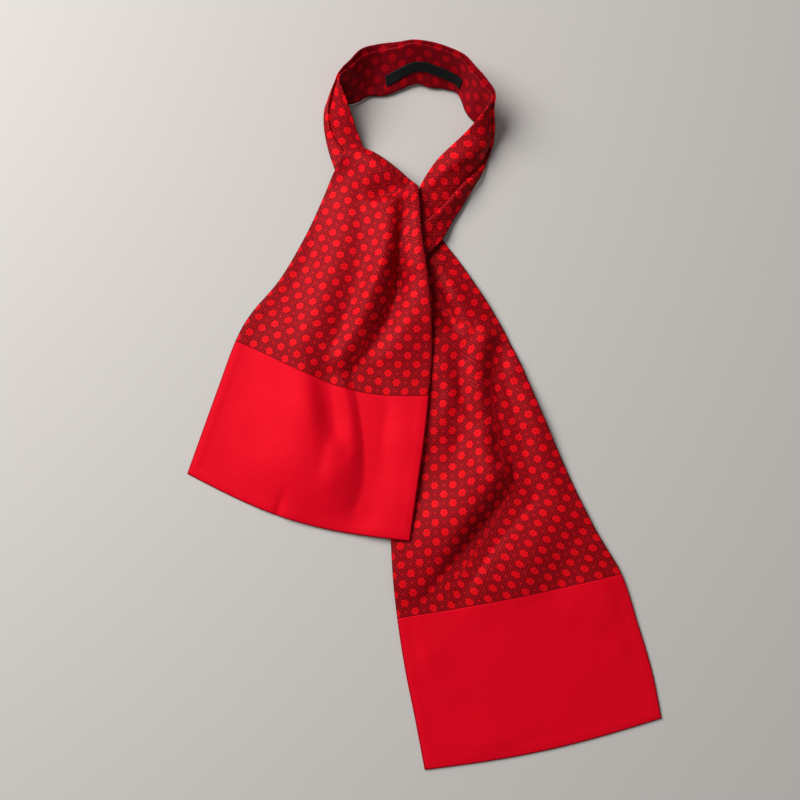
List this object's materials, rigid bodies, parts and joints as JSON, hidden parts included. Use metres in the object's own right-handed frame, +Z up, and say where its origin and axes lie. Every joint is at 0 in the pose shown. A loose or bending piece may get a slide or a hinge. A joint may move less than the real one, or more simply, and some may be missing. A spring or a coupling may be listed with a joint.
{
  "type": "silk cravat",
  "caption": "Silk cravat laid flat and tied in a half knot, with a folded neck loop, two wide printed blades with plain ends and a sewn label.",
  "frame": {"origin": "centre of the cravat's outline, on the floor it lies on", "axes": "+Z up from the floor, +Y from the hems to the back of the neck loop, +X to the side of the rear blade"},
  "size_m": [0.335, 0.5231, 0.0309],
  "materials": {
    "silk_print": "printed silk twill, soft sheen",
    "silk_plain": "plain silk twill, soft sheen",
    "label_ribbon": "woven ribbon, matt"
  },
  "bodies": {
    "root": {"front_blade": "silk_print", "front_blade_end": "silk_plain", "rear_blade": "silk_print", "rear_blade_end": "silk_plain", "neck_left_inner": "silk_print", "neck_back_inner": "silk_print", "neck_right_inner": "silk_print", "neck_left_outer": "silk_print", "neck_back_outer": "silk_print", "neck_right_outer": "silk_print", "label": "label_ribbon", "knot_core": "silk_print"}
  },
  "joints": []
}
